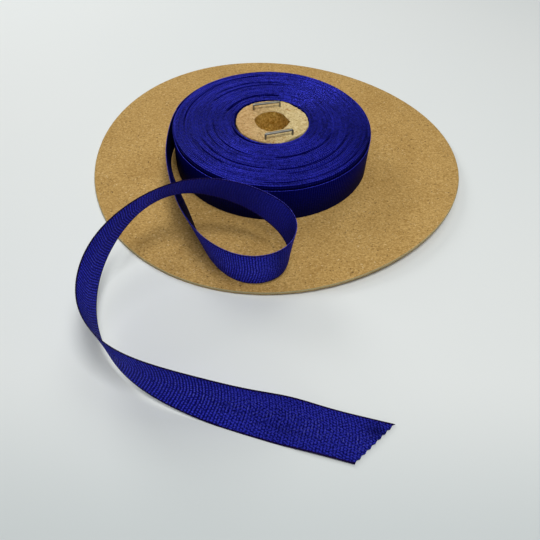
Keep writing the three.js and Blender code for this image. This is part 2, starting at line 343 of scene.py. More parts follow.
# %% The outlines of the disc and its hole
CARD = {
    "radius": 83 * MM,
    "swell": 1.5 * MM,
    "swell_at": math.radians(3),
    "x": 1.9 * MM,
    "y": 0.3 * MM,
    "wear": 0.08 * MM,
    "wear_detail": 80,
}
CORE_X, CORE_Y = 0.4 * MM, 1.6 * MM
HOLE = {"radius": 7.5 * MM, "uneven": 0.15 * MM, "chip": 0.8 * MM, "chip_reach": math.radians(7)}


def hole_radius(angle):
    """The rough hole, with a chip out of its right side."""
    off_chip = 2 * np.sin(angle / 2) / HOLE["chip_reach"]
    chip = HOLE["chip"] * np.exp(-(off_chip ** 2))
    return HOLE["radius"] + HOLE["uneven"] * (np.cos(4 * angle + 1) + np.cos(7 * angle) / 2) + chip


def card_radius(angle):
    return CARD["radius"] + CARD["swell"] * np.cos(3 * (angle - CARD["swell_at"]))


def point_ring(centre, radius, angle, height):
    """Points round a centre, which is given from the roll's axis."""
    x = AXIS[0] + centre[0] + radius * np.cos(angle)
    y = AXIS[1] + centre[1] + radius * np.sin(angle)
    return np.stack([x, y, np.broadcast_to(height, angle.shape)], axis=-1)


angle = np.linspace(0, 2 * math.pi, 360, endpoint=False)
along_edge = [CARD["wear_detail"] * Vector((math.cos(a), math.sin(a), 0)) for a in angle]
edge_wear = np.array([noise.noise(spot + Vector((0, 0, 5))) for spot in along_edge]) * CARD["wear"]
outer = point_ring((CARD["x"], CARD["y"]), card_radius(angle) + edge_wear, angle, 0)
inner = point_ring((CORE_X, CORE_Y), hole_radius(angle), angle, 0)
print("the disc is", np.ptp(outer[:, 0]).round(4), "by", np.ptp(outer[:, 1]).round(4), "across")

# %% The section of the card
CARD_THICKNESS = 1.2
CARD_SECTION = rows(
    "outward inset height",
    (0.55, 0, 0),
    (0.7, 0, 0),
    (0.85, 0, 0),
    (1, 0.2, 0),
    (1, 0, 0.2),
    (1, 0, 0.9),
    (1, 0.1, 1.1),
    (1, 0.4, CARD_THICKNESS),
    (0.85, 0, CARD_THICKNESS),
    (0.7, 0, CARD_THICKNESS),
    (0.55, 0, CARD_THICKNESS),
    (0.3, 0, CARD_THICKNESS),
    (0, 0, CARD_THICKNESS),
    (0, 0, 0),
)
on_cut_edge = [row["outward"] == 1 and 0.5 < row["height"] < CARD_THICKNESS for row in CARD_SECTION]
print(sum(on_cut_edge), "of", len(CARD_SECTION), "points of the section are on the cut edge")

# %% Make the card disc
WARP = {
    "at": math.radians(324),
    "power": 7,
    "starts": 0.55,
    "rise": 2.8 * MM,
    "bend": 1.5,
    "growth": 0.008,
}
rings = []
toward = (inner - outer) / np.linalg.norm(inner - outer, axis=1)[:, None]
warp_side = ((1 + np.cos(angle - WARP["at"])) / 2) ** WARP["power"]
for row in CARD_SECTION:
    ring = inner + (outer - inner) * row["outward"] + toward * row["inset"] * MM
    past = max(row["outward"] - WARP["starts"], 0) / (1 - WARP["starts"])
    lifted = WARP["rise"] * warp_side * past ** WARP["bend"]
    ring[:, 2] = row["height"] / CARD_THICKNESS * CARD_TOP + lifted
    ring[:, :2] += (outer - inner)[:, :2] * (WARP["growth"] * warp_side * past)[:, None]
    rings.append(ring)
card_disc = skin("kraft_card_disc", np.array(rings), True, card_material)
store(card_disc, "cut_edge", np.repeat(on_cut_edge, len(angle)))
finish_mesh(card_disc)
ride_and_replace(card_disc, "card_disc")

# %% [markdown]
# ## Chipboard
#
# The core is chipboard, with coarse fibres, small flecks and a few gouges. Its colour is
# painted darker and browner on its left as painted shade, and paler on its right as painted
# light. The upper rim of its outer wall is as pale as its sawn top, and inside the hole it
# is a warmer brown. The same kinds of noise as on the card make the fibres and flecks, with
# more relief. Masks made from a point's height and its distance from the axis say where the
# inside colour goes.

# %% The core's fibres and flecks
CHIPBOARD = {
    "left": [(0.42, 0.24, 0.08, 1), (0.78, 0.53, 0.25, 1)],
    "right": [(0.5, 0.36, 0.14, 1), (0.86, 0.71, 0.38, 1)],
    "inside": [(0.42, 0.2, 0.015, 1), (0.95, 0.66, 0.17, 1)],
    "brown fleck": (0.36, 0.15, 0.04, 1),
    "gouge": (0.4, 0.17, 0.03, 1),
    "dark fleck": (0.14, 0.07, 0.03, 1),
}
core_material, graph = new_material("chipboard")
place = graph.place()
coarse = graph.noise(place, 750, 5, 0.7)
fibres = graph.fibres(place, 1.1, (900, 2200, 900))
tone = graph.within(coarse * 0.7 + fibres * 0.55, 0.42, 0.86)
# Painted light and shade: the colour is darker and browner on the left and paler on the right.
painted_light_to_right = graph.within(graph.coordinate(place, "X"), AXIS[0] - 12 * MM, AXIS[0] + 10 * MM)
colour = graph.mix(painted_light_to_right, graph.mix(tone, *CHIPBOARD["left"]), graph.mix(tone, *CHIPBOARD["right"]))
brown_fleck = graph.within(graph.noise(place, 1000, 3), 0.6, 0.65)
gouge = graph.within(graph.noise(place, 420, 2), 0.66, 0.7)
dark_fleck = graph.within(graph.noise(place, 1500, 2), 0.63, 0.68)
colour = graph.mix(brown_fleck * 0.6, colour, CHIPBOARD["brown fleck"])
colour = graph.mix(gouge * 0.6, colour, CHIPBOARD["gouge"])
colour = graph.mix(dark_fleck * 0.7, colour, CHIPBOARD["dark fleck"])

# %% The core's top, wall and inside
height = graph.coordinate(place, "Z")
sawn_top = graph.within(height, CORE_TOP - 0.6 * MM, CORE_TOP - 0.15 * MM)
flat_place = graph.node("ShaderNodeVectorMath", {"operation": "MULTIPLY"}, {0: place, 1: (1, 1, 0)})
off_axis = graph.node("ShaderNodeVectorMath", {"operation": "DISTANCE"}, {0: flat_place, 1: AXIS}, "Value")
upper_part = graph.within(height, CORE_TOP - 3 * MM, CORE_TOP - MM)
outer_wall = graph.within(off_axis, 12 * MM, 14 * MM) * upper_part
inside = graph.mix(tone, *CHIPBOARD["inside"])
colour = graph.mix(graph.math("MAXIMUM", sawn_top, outer_wall), inside, colour)
relief = graph.bump(0.8, 0.4 * MM, coarse + fibres)
surface(graph, {"Base Color": colour, "Roughness": 0.92, "Normal": relief, "Specular IOR Level": 0.2})

# %% [markdown]
# ## The core
#
# A ring of chipboard with one side sawn flat, a rough hole and a few nicks. A cylinder with a
# Boolean hole would be too clean. The outline is the model's own, with small nicks added, and
# three-dimensional noise moves the points of its walls and its top a little.

# %% The outline of the core
CORE = {
    "radius": 16.2 * MM,
    "oval": 0.25 * MM,
    "oval_at": math.radians(17),
    "uneven": 0.12 * MM,
    "flat": 15.3 * MM,
    "flat_at": math.radians(308),
}
CORE_NICKS = rows(
    "at reach depth",
    (50, 4, 0.5),
    (41, 3, 0.35),
    (318, 4, 0.3),
    (200, 6, 0.25),
)


def core_radius(angle):
    """The core's outline: nearly round, nicked, and cut off straight on its sawn side."""
    oval = CORE["oval"] * np.cos(angle - CORE["oval_at"])
    round_edge = CORE["radius"] + oval + CORE["uneven"] * np.cos(5 * angle)
    for nick in CORE_NICKS:
        off_nick = np.sin((angle - math.radians(nick["at"])) / 2) / math.radians(nick["reach"] / 2)
        round_edge = round_edge - nick["depth"] * MM * np.exp(-(off_nick ** 2))
    off_flat = np.cos(angle - CORE["flat_at"])
    chord = CORE["flat"] / np.maximum(off_flat, 1e-6)
    return np.where(off_flat > 0, np.minimum(round_edge, chord), round_edge)


angle = np.linspace(0, 2 * math.pi, 240, endpoint=False)
outer = point_ring((CORE_X, CORE_Y), core_radius(angle), angle, 0)
inner = point_ring((CORE_X, CORE_Y), hole_radius(angle), angle, 0)
print("the core is", np.ptp(outer[:, 0]).round(4), "by", np.ptp(outer[:, 1]).round(4), "across")

# %% Make the core
CORE_EDGE = {"wall_stops": 0.35 * MM, "top_inset": 0.15 * MM, "top_lower": 0.12 * MM}


def rough(points, cell, depth, seed):
    """Moves points by smooth noise of a given cell size and depth. The seed keeps every run the same."""
    noise.seed_set(seed)
    moved = [noise.noise_vector(Vector(p) / cell) for p in points.reshape(-1, 3)]
    return points + np.array(moved).reshape(points.shape) * depth


def at_height(ring, height):
    """A copy of a ring at a height."""
    return np.concatenate([ring[:, :2], np.full((len(ring), 1), height)], axis=1)


toward = (inner - outer) / np.linalg.norm(inner - outer, axis=1)[:, None]
wall = np.linspace(SEAT, CORE_TOP - CORE_EDGE["wall_stops"], 12)
rings = [at_height(outer, height) for height in wall]
for share in np.linspace(0, 1, 13):
    ring = outer + (inner - outer) * share + toward * (CORE_EDGE["top_inset"] if share == 0 else 0)
    rings.append(at_height(ring, CORE_TOP - (CORE_EDGE["top_lower"] if share in (0, 1) else 0)))
rings += [at_height(inner, height) for height in wall[::-1]]
rings = np.array(rings)
rings[1:-1] = rough(rings[1:-1], cell=1.5 * MM, depth=0.3 * MM, seed=3)
rings[..., 2] = np.clip(rings[..., 2], SEAT, CORE_TOP)
core = skin("chipboard_core", rings, True, core_material)
finish_mesh(core)
ride_and_replace(core, "core")

# %% [markdown]
# ## The staples
#
# Two flat-wire staples of brushed steel stand proud of the core. A bevelled curve would give
# round wire. Each is a rounded rectangle carried along a bent line instead: up a leg, round
# the corner, along the crown and down again. Two kinds of noise make the wire dull in places
# and scratched.

# %% The staples' material
STEEL = {"dull": (0.14, 0.14, 0.12, 1), "bright": (0.4, 0.4, 0.36, 1)}
steel_material, graph = new_material("staple_steel")
place = graph.place()
scratch = graph.noise(place, 3000, 3, 0.6)
tarnish = graph.noise(place, 500, 2)
colour = graph.mix(tarnish, STEEL["dull"], STEEL["bright"])
surface(graph, {"Base Color": colour, "Metallic": 1.0, "Roughness": scratch * 0.3 + 0.3})

# %% Make the staples
STAPLE = {
    "crown": 13 * MM,
    "width": 1.3 * MM,
    "thickness": 0.68 * MM,
    "corner": 0.9 * MM,
    "driven": 5 * MM,
    "squareness": 0.45,
}


def staple_line(top):
    """The middle line of a staple's wire: a leg, a corner, the crown, a corner and a leg."""
    reach = STAPLE["crown"] / 2 - STAPLE["thickness"] / 2
    bend = STAPLE["corner"] - STAPLE["thickness"] / 2
    high = top - STAPLE["thickness"] / 2
    turn = np.linspace(math.pi, math.pi / 2, 7)
    corner = np.stack([-reach + bend + bend * np.cos(turn), high - bend + bend * np.sin(turn)], axis=-1)
    foot = CORE_TOP - STAPLE["driven"]
    leg = np.stack([np.full(4, -reach), np.linspace(foot, high - bend, 4, endpoint=False)], axis=-1)
    left = np.vstack([leg, corner])
    right = left[::-1] * (-1, 1)
    return np.vstack([left, right])


def squared(wave):
    """Makes a wave squarer, so that a round section becomes a rounded rectangle."""
    return np.sign(wave) * np.abs(wave) ** STAPLE["squareness"]


def staple_rings(staple, top):
    """The wire's section at each point of its line, turned and put in the staple's place."""
    line = staple_line(top)
    run = np.gradient(line, axis=0)
    run /= np.linalg.norm(run, axis=1)[:, None]
    across = np.stack([-run[:, 1], run[:, 0]], axis=-1)
    around = np.linspace(0, 2 * math.pi, 16, endpoint=False) + math.pi / 16
    flat = squared(np.cos(around)) * STAPLE["thickness"] / 2
    x = line[:, None, 0] + across[:, None, 0] * flat
    z = line[:, None, 1] + across[:, None, 1] * flat
    y = np.broadcast_to(squared(np.sin(around)) * STAPLE["width"] / 2, x.shape)
    c, s = math.cos(staple["turn"]), math.sin(staple["turn"])
    turned = np.stack([c * x - s * y, s * x + c * y, z], axis=-1)
    return turned + (AXIS[0] + staple["x"], AXIS[1] + staple["y"], 0)


for node, staple in STAPLES.items():
    wire = skin("wire_" + node, staple_rings(staple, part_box(node)[1].z), False, steel_material)
    finish_mesh(wire)
    ride_and_replace(wire, node)

# %% [markdown]
# ## Ribbed ribbon
#
# The ribbon is a ribbed weave: thick threads lie across it and make ribs, and fine threads
# run along it and dot the ribs. The pattern has to follow the cloth round every bend, so
# each ribbon mesh keeps five numbers at each point: how many ribs lie before it, its place
# across the ribbon from -1 to 1, the tone and the painted light and shade of its edge, the
# painted light and shade of the cloth, and how clearly its ribs show. Cosines of the first
# two make the ribs and the dots, so the weave never slides off the cloth, and one function
# makes the material of the roll and of its end.

# %% Ribs and dots
RIB_PITCH = 1.02 * MM
RIBBON_WIDTH = 16 * MM
DOTS_ACROSS = 18


def ribs_and_dots(graph, cloth, ribs, across):
    """Two waves from 0 to 1: the ribs, and the dots of thread on them."""
    waver = graph.noise(cloth, 160, 2) - 0.5
    count = ribs + waver * 0.35
    rib = graph.math("COSINE", count * (2 * math.pi)) * 0.5 + 0.5
    step = graph.math("FLOOR", count + 0.5)
    dot_place = (across * (DOTS_ACROSS / 2) + step * 0.4 + waver * 0.3) * (2 * math.pi)
    dot = graph.math("COSINE", dot_place) * 0.5 + 0.5
    return rib, dot


def thread_tone(graph, cloth, rib, dot, ribbed, contrast):
    """How light a thread is, from 0 to 1, with less difference where the ribs hardly show."""
    worn = graph.within(graph.noise(cloth, 1800, 1, 0.5), 0.3, 0.7)
    rib_share = graph.within(ribbed, 1.0, 1.5) * 0.3 + 0.42
    thread = (1 - (1 - rib) * rib_share) * (dot * 0.5 + 0.5) * (worn * 0.9 + 0.45)
    return graph.within(thread * contrast + (1 - contrast) * 0.48, 0.15, 0.95)


# %% [markdown]
# Along each long edge lies a dark margin and then a selvedge, the firm woven edge. The
# margin is partly the edge's own dark thread and partly painted shade, at the cloth's edges
# and between the turns of the roll. The roll shows hardly anything else, because its top is
# made of the edges of its turns. There the selvedge is speckled, carries the edge's painted
# light and shade, and has a metallic blue sheen, which the Metallic input gives. Pale painted
# highlights lie on the ribs, most of them in the middle. The number lit paints light and
# shade over the whole cloth. In the loose end some light comes through the cloth, and a
# Translucent shader behind a Mix Shader makes that.

# %% The ribbon's material
UNLIT = (0.0, 0.0, 0.01, 1)


def ribbon_material(name, colours, sheen, see_through):
    """Ribbed cloth: its colours, the metallic sheen of its edges, and how much light it lets through."""
    material, graph = new_material(name)
    kept = ("ribs", "across", "shade", "lit", "ribbed")
    ribs, across, shade, lit, ribbed = [kept_number(graph, number) for number in kept]
    off_middle = graph.math("ABSOLUTE", across)
    cloth = graph.vector(ribs * RIB_PITCH, across * (RIBBON_WIDTH / 2), 0.0)
    rib, dot = ribs_and_dots(graph, cloth, ribs, across)
    contrast = graph.math("MINIMUM", ribbed, 1.0) * 1.3
    tone = thread_tone(graph, cloth, rib, dot, ribbed, contrast)
    colour = graph.mix(tone, colours["valley"], colours["crest"])
    # Painted highlights: pale glints on the rib crests, mostly in the middle of the ribbon.
    painted_highlight = graph.within(graph.noise(cloth, 1900, 1), 0.54, 0.66) * rib * contrast * (1 - off_middle)
    colour = graph.mix(painted_highlight * 0.7, colour, colours["painted_highlight"])
    # Painted light and shade over the whole cloth: lit mixes the colour towards UNLIT.
    colour = graph.mix(lit, UNLIT, colour)
    speckle = graph.noise(graph.place(), 1100, 2, 0.6)
    # The selvedge's tone comes from random speckle, the ribs and the edge's painted light and shade.
    edge_tone = graph.within(rib * 0.3 + speckle * 1.8 + shade * 2.2, 1.35, 3.0)
    margin = graph.within(off_middle, 0.92, 0.945)
    selvedge = graph.within(off_middle, 0.97, 0.99)
    # The dark margin: partly the edge's own dark thread, partly painted shade at the edge and between
    # turns.
    colour = graph.mix(margin, colour, colours["dark edge and shade"])
    colour = graph.mix(selvedge, colour, graph.mix(edge_tone, colours["dark edge and shade"], colours["edge"]))
    relief = graph.bump(1.0, 0.15 * MM, rib * (dot * 0.5 + 0.7))
    shader = graph.node("ShaderNodeBsdfPrincipled", None, {
        "Base Color": colour,
        "Roughness": 0.6 - selvedge * 0.27,
        "Metallic": selvedge * sheen,
        "Normal": relief,
        "Specular IOR Level": 0.02,
    })
    if see_through:
        glow = graph.node("ShaderNodeBsdfTranslucent", None, {"Color": colours["glow"]})
        share = (tone * 0.5 + 0.5) * (1 - margin) * lit * see_through
        shader = graph.node("ShaderNodeMixShader", None, {0: share, 1: shader, 2: glow})
    graph.node("ShaderNodeOutputMaterial", None, {"Surface": shader})
    print(name, "has", len(graph.tree.nodes), "nodes")
    return material


# %% The blues of the roll and of its loose end
# The roll's face colours are a much darker copy of the loose end's blues: painted shade on the roll's
# side.
SHADED_WOUND_BLUE = {
    "crest": (0.002, 0.003, 0.12, 1),
    "painted_highlight": (0.008, 0.008, 0.17, 1),
    "valley": (0.001, 0.001, 0.05, 1),
    "edge": (0.04, 0.047, 0.66, 1),
    "dark edge and shade": (0.002, 0.002, 0.07, 1),
}
LOOSE_BLUE = {
    "crest": (0.06, 0.072, 0.98, 1),
    "painted_highlight": (0.2, 0.22, 1, 1),
    "valley": (0.002, 0.002, 0.12, 1),
    "edge": (0.07, 0.07, 0.6, 1),
    "dark edge and shade": (0.008, 0.003, 0.035, 1),
    "glow": (0.24, 0.22, 0.92, 1),
}
roll_material = ribbon_material("ribbon_wound", SHADED_WOUND_BLUE, sheen=0.75, see_through=0)
tail_material = ribbon_material("ribbon_loose", LOOSE_BLUE, sheen=0, see_through=0.26)

# %% [markdown]
# ## The wound turns
#
# On the roll, one ribbon goes round the core about 78 times. A solid ring with a striped
# texture would look like plastic, so the turns are really wound here, with Geometry Nodes:
# a spiral curve gives the order of the points, Curve to Mesh gives them a section with eight
# corners, and Set Position puts each corner where a rule says. The rule makes the bore sit
# round the core, lets the last turns lie loose, and stands groups of turns at their own
# heights, as they shift on a real roll. In front the last two turns have slipped down.

# %% The sizes of the roll
ROLL = {
    "turns": 78,
    "steps": 96,
    "bore": 16.8 * MM,
    "pitch": 0.3462 * MM,
    "thickness": 0.29 * MM,
    "loose_turns": 3,
    "loose": 0.33 * MM,
    "oval": 0.55 * MM,
    "wander": 0.12 * MM,
    "slack": 1.2 * MM,
    "slack_at": math.radians(234),
    "foot": 1.4 * MM,
    "uneven_top": 0.6 * MM,
    "ends_at": math.radians(167.6),
    "end_top": 17.7 * MM,
    "end_foot": 0.3 * MM,
}
SLIP = {
    "at": math.radians(275),
    "from": math.cos(math.radians(80)),
    "to": math.cos(math.radians(62)),
    "outward": 0.35 * MM,
    "last_turn": 1.5 * MM,
    "turn_before": 0.8 * MM,
    "outer_turns": 0.7 * MM,
}
across_middle_turn = 2 * ROLL["bore"] + ROLL["turns"] * ROLL["pitch"]
print("about", round(ROLL["turns"] * math.pi * across_middle_turn, 1), "m of ribbon are wound")

# %% The bands and the grooves between them
INNER, OUTER = 16 * MM, 45 * MM
TALLEST = 20.0
BAND_HEIGHTS = rows(
    "band radius height",
    ("first turns", 16.9, 16.8),
    ("first turns, crown", 18.6, 17.1),
    ("inner band", 24.4, 17.2),
    ("middle band", 31.7, 17.1),
    ("outer band", 36.0, 17.0),
    ("rim band", 44.5, 16.9),
)
GROOVES = rows(
    "groove radius drift at reach depth half",
    ("behind the core", 20.7, 0.4, 122, 44, 1.8, 0.55),
    ("inner, left", 26.0, 0.2, 218, 38, 0.7, 0.3),
    ("inner, front right", 26.7, 1.2, 308, 38, 1.0, 0.35),
    ("fine, left", 29.2, 0.0, 220, 24, 0.6, 0.25),
    ("fine, back", 30.1, 0.3, 116, 38, 0.6, 0.35),
    ("second, back", 32.6, 0.4, 110, 34, 0.6, 0.35),
    ("middle, left", 32.6, 0.1, 235, 36, 0.8, 0.35),
    ("middle, front right", 33.6, 0.5, 311, 40, 1.0, 0.35),
    ("short, left", 35.4, 0.0, 222, 17, 0.8, 0.25),
    ("outer, front right", 36.4, 0.5, 314, 36, 0.6, 0.25),
    ("outer, back left", 38.6, -0.5, 142, 46, 0.9, 0.35),
    ("rim, front right", 41.1, 0.5, 305, 44, 0.9, 0.25),
)
print(len(BAND_HEIGHTS), "heights and", len(GROOVES), "grooves")

# %% [markdown]
# The tree's inputs are its named sizes, so the roll can be wound again with other numbers.
# Each point of the spiral keeps which turn it is on, and each corner of the section keeps
# where it is on the section. All the rules below start from these three numbers.

# %% Start the tree
tree = bpy.data.node_groups.new("wound_ribbon", "GeometryNodeTree")
tree_sizes = {"Turns": ROLL["turns"], "Thickness": ROLL["thickness"], "Pitch": ROLL["pitch"]}
for name, size in tree_sizes.items():
    socket = tree.interface.new_socket(name, in_out="INPUT", socket_type="NodeSocketFloat")
    socket.default_value = size
tree.interface.new_socket("Geometry", in_out="OUTPUT", socket_type="NodeSocketGeometry")
graph = Graph(tree)
size_inputs = tree.nodes.new("NodeGroupInput")
turns, thickness, pitch = [Wire(graph, size_inputs.outputs[name]) for name in tree_sizes]
print("the tree takes", ", ".join(tree_sizes))


# %% Lay the points in order
def keep(geometry, name, value):
    """Keeps one number for each point inside the tree."""
    settings = {"data_type": "FLOAT", "domain": "POINT"}
    inputs = {"Geometry": geometry, "Name": name, "Value": value}
    return geometry.graph.node("GeometryNodeStoreNamedAttribute", settings, inputs)


index = graph.node("GeometryNodeInputIndex")
spiral = graph.node("GeometryNodeCurveSpiral", None, {
    "Resolution": ROLL["steps"],
    "Rotations": turns,
    "Start Radius": INNER,
    "End Radius": OUTER,
    "Height": 0.0,
})
spiral = keep(spiral, "turn", index / ROLL["steps"])
eight_corners = {"Resolution": 8, "Radius": 1.0}
section = graph.node("GeometryNodeCurvePrimitiveCircle", {"mode": "RADIUS"}, eight_corners)
corner = (index + 0.5) * (math.pi / 4)
section = keep(section, "out", graph.math("COSINE", corner))
section = keep(section, "up", graph.math("SINE", corner))
carried = {"Curve": spiral, "Profile Curve": section, "Fill Caps": True}
wound = graph.node("GeometryNodeCurveToMesh", None, carried)
turn, out, up = [
    graph.node("GeometryNodeInputNamedAttribute", {"data_type": "FLOAT"}, {"Name": name})
    for name in ("turn", "out", "up")
]
print("points in order:", ROLL["turns"] * ROLL["steps"], "steps with 8 corners")

# %% [markdown]
# The distance from the axis grows by the pitch with each turn. Slack near the bore, looser
# last turns, a slight wander and half the ribbon's thickness to each side are added to it.
# The height follows the bands, a little unevenly, and drops where a turn has slipped.

# %% How far each turn lies from the axis
angle = turn * (2 * math.pi) + ROLL["ends_at"]
cosine, sine = graph.math("COSINE", angle), graph.math("SINE", angle)
outward = turn / turns
front = graph.within(graph.math("COSINE", angle - SLIP["at"]), SLIP["from"], SLIP["to"])
slipped = graph.within(turn, turns - 1.03, turns - 0.97)
half_slipped = graph.within(turn, turns - 2.03, turns - 1.97) * (1 - slipped)
loose = graph.math("MAXIMUM", turn - turns + ROLL["loose_turns"], 0.0) / ROLL["loose_turns"]
middle = turn * pitch + ROLL["bore"] + loose ** 3 * ROLL["loose"]
slack_side = graph.math("MAXIMUM", graph.math("COSINE", angle - ROLL["slack_at"]), 0.0) ** 5
slack_turns = graph.within(turn, 2.4, 3.0) * graph.math("MAXIMUM", 1 - outward * 2.5, 0.0)
slack = slack_side * slack_turns * ROLL["slack"]
wander = graph.noise(graph.vector(cosine * 2, sine * 2, turn * 0.9), 1.0, 2) - 0.5
oval = cosine * outward ** 6 * graph.within(turns - turn, 0.0, 0.3) * ROLL["oval"]
stand_off = slipped * front * SLIP["outward"]
beside = graph.math("MINIMUM", graph.math("ABSOLUTE", out) * 1.1, 1.0) * graph.math("SIGN", out)
radius = middle + slack + oval + stand_off + wander * ROLL["wander"] + beside * thickness / 2
x = radius * cosine + (1 - outward) * CORE_X + AXIS[0]
y = radius * sine + (1 - outward) * CORE_Y + AXIS[1]
print("nodes so far:", len(tree.nodes))

# %% How high each turn stands
across_roll = OUTER - INNER
curve = [((row["radius"] * MM - INNER) / across_roll, row["height"] / TALLEST) for row in BAND_HEIGHTS]
band = graph.node("ShaderNodeFloatCurve", {"curve": curve}, {"Value": (middle - INNER) / across_roll})
uneven = graph.noise(graph.vector(cosine, sine, turn * 1.7), 1.0, 3, 0.7) - 0.5
top = band * (TALLEST * MM) + uneven * ROLL["uneven_top"] + SEAT
top = top - graph.within(turn, turns - 2.5, turns - 1) * (1 - front) * SLIP["outer_turns"]
top = top - slipped * front * SLIP["last_turn"]
top = top - half_slipped * front * SLIP["turn_before"]
print("nodes so far:", len(tree.nodes))

# %% [markdown]
# A groove is a few turns that have sunk. It follows its radius for part of a circle, drifts
# in or out a little, and noise leads it astray and breaks it up. Each groove is also added
# to in_shadow, which makes the edges of its turns darker.

# %% Sink the grooves
ASTRAY = 0.9 * MM
astray = graph.noise(graph.vector(cosine * 2, sine * 2, 3.0), 1.0, 3, 0.6) - 0.5
broken = graph.noise(graph.vector(cosine * 5, sine * 5, middle * 300), 1.0, 2)
in_shadow = 0.0
for groove in GROOVES:
    from_middle = angle - math.radians(groove["at"])
    reach = math.cos(math.radians(groove["reach"]))
    beside_it = graph.within(graph.math("COSINE", from_middle), reach, reach * 0.6 + 0.4)
    radius_here = graph.math("SINE", from_middle) * (groove["drift"] * MM) + groove["radius"] * MM
    off_groove = graph.math("ABSOLUTE", middle - radius_here + astray * ASTRAY)
    in_it = 1 - graph.within(off_groove, groove["half"] * 0.2 * MM, groove["half"] * 1.8 * MM)
    sunk = beside_it * in_it * (broken * 0.9 + 0.3)
    top = top - sunk * (groove["depth"] * MM)
    in_shadow = in_shadow + sunk * min(groove["depth"], 1)
print("nodes so far:", len(tree.nodes))

# %% [markdown]
# Four of the section's eight corners make the ribbon's upper edge and four its lower edge.
# On each edge two lie outermost, and the other two are its shoulders, a little further in.
# The last bit of ribbon rises to the height at which the loose end takes over.

# %% Put the points in place
CORNER_UP, SHOULDER_UP = 0.924, 0.383
shoulder = (CORNER_UP - graph.math("ABSOLUTE", up)) / (CORNER_UP - SHOULDER_UP)
rounding = shoulder * thickness * 0.42
rise = graph.within(turn, turns - 0.14, turns)
top = top + (ROLL["end_top"] - top) * rise
foot = rise * ROLL["end_foot"] + ROLL["foot"]
upper = graph.math("GREATER_THAN", up, 0.0)
z = upper * (top - rounding) + (1 - upper) * (foot + rounding)
wound = graph.node("GeometryNodeSetPosition", None, {"Geometry": wound, "Position": graph.vector(x, y, z)})
print("nodes so far:", len(tree.nodes))

# %% Keep the numbers that the material reads
length = (turn * turn * pitch / 2 + turn * ROLL["bore"]) * (2 * math.pi)
patchy = graph.noise(graph.vector(cosine * 1.5, sine * 1.5, turn * 0.4), 1.0, 3, 0.75)
kept = {
    "ribs": length / RIB_PITCH,
    "across": (upper * 2 - 1) * (1 - shoulder * 0.03246),
    # Patchy tone between turns, partly painted shade of their uneven heights; the slipped last turn's edge
    # is a painted highlight, and groove turns and the turn before the slipped one get painted shade.
    "shade": patchy + slipped * front * 0.4 - in_shadow * 0.4 - half_slipped * front * 0.35,
    "ribbed": 1.0,
    # Painted shade: the turn before the slipped one is darkened in front.
    "lit": 1 - half_slipped * front * 0.75,
}
for name, value in kept.items():
    wound = keep(wound, name, value)
wound = graph.node("GeometryNodeSetMaterial", None, {"Geometry": wound, "Material": roll_material})
wound = graph.node("GeometryNodeRealizeInstances", None, {0: wound})
graph.node("NodeGroupOutput", None, {"Geometry": wound})
print("the tree has", len(tree.nodes), "nodes")


# %% Wind the roll
def made_plain(name, tree, sizes):
    """Runs a Geometry Nodes tree on an empty mesh and keeps the result as a plain object."""
    carrier = add_object(name + "_carrier", bpy.data.meshes.new(name + "_carrier"))
    modifier = carrier.modifiers.new("nodes", "NODES")
    modifier.node_group = tree
    for item in tree.interface.items_tree:
        if item.in_out == "INPUT":
            modifier[item.identifier] = float(sizes[item.name])
    bpy.context.view_layer.update()
    evaluated = carrier.evaluated_get(bpy.context.evaluated_depsgraph_get())
    piece = add_object(name, bpy.data.meshes.new_from_object(evaluated))
    bpy.data.objects.remove(carrier)
    return piece


ribbon_roll = made_plain("wound_ribbon_roll", tree, tree_sizes)
finish_mesh(ribbon_roll, math.radians(66))
ride_and_replace(ribbon_roll, "ribbon_roll")

# %% [markdown]
# ## The loose end
#
# The loose end is one strip of ribbon: it leaves the roll at the left, stands on its edge,
# curls once, crosses over itself, drops over the disc's rim, rolls over and lies flat. A
# cloth simulation would move it away from the photo. Its course is a smooth curve through
# stations read from the photo, the same as in the model: x, y and z in millimetres from the
# roll's axis, then the lean of the ribbon's width and how far it is cupped, in degrees. The
# mesh has four rows of points to each rib, so the ribs are real.

# %% The course of the loose end
COURSE = {
    "still on the roll": (-36.9, 24, 9.7, -2, 0),
    "leaves the roll": (-43.1, 9.4, 9.7, 0, 0),
    "beside the roll": (-44.7, -6.5, 9.7, 3, 0),
    "drawing away": (-42.3, -22.5, 9.7, -8, 0),
    "under the crossing": (-37, -38, 9.6, -19, 0),
    "edge on": (-31.2, -53.2, 9.5, -21, 0),
    "turning in": (-23.2, -68.2, 9.6, -12, 0),
    "front of the curl": (-12, -78, 10, -4, 0),
    "front, right half": (-1, -79.5, 10.8, -3, 0),
    "right corner": (7, -75, 12, -5, 0),
    "right end": (9.3, -66.5, 14, -8, 0),
    "turning back": (5.1, -59, 17, 0, 0),
    "rising": (-5.5, -53.9, 21, 13, 0),
    "nearing the crossing": (-18, -52.4, 24.6, 23, 0),
    "over the first strand": (-31, -54.7, 27, 33, 0),
    "turning down": (-43.3, -62, 26.5, 30, 0),
    "over the rim": (-53.4, -73.6, 23.2, 14, 0),
    "outside the disc": (-59.1, -88, 18.6, -4, 0),
    "left end": (-57.7, -104, 14.2, -13, 0),
    "twist": (-48.5, -116.5, 11.8, -6, 5),
    "rolling over": (-35, -123.7, 10, 8, 25),
    "half over": (-18, -128, 6.6, 27, 45),
    "coming down": (-1.5, -130.9, 3.1, 48, 60),
    "on the table": (13.5, -134, 0.9, 83, 20),
    "lying flat": (26, -137, 0.5, 90, 0),
    "cut end": (39.8, -140.4, 0.5, 90, 0),
}


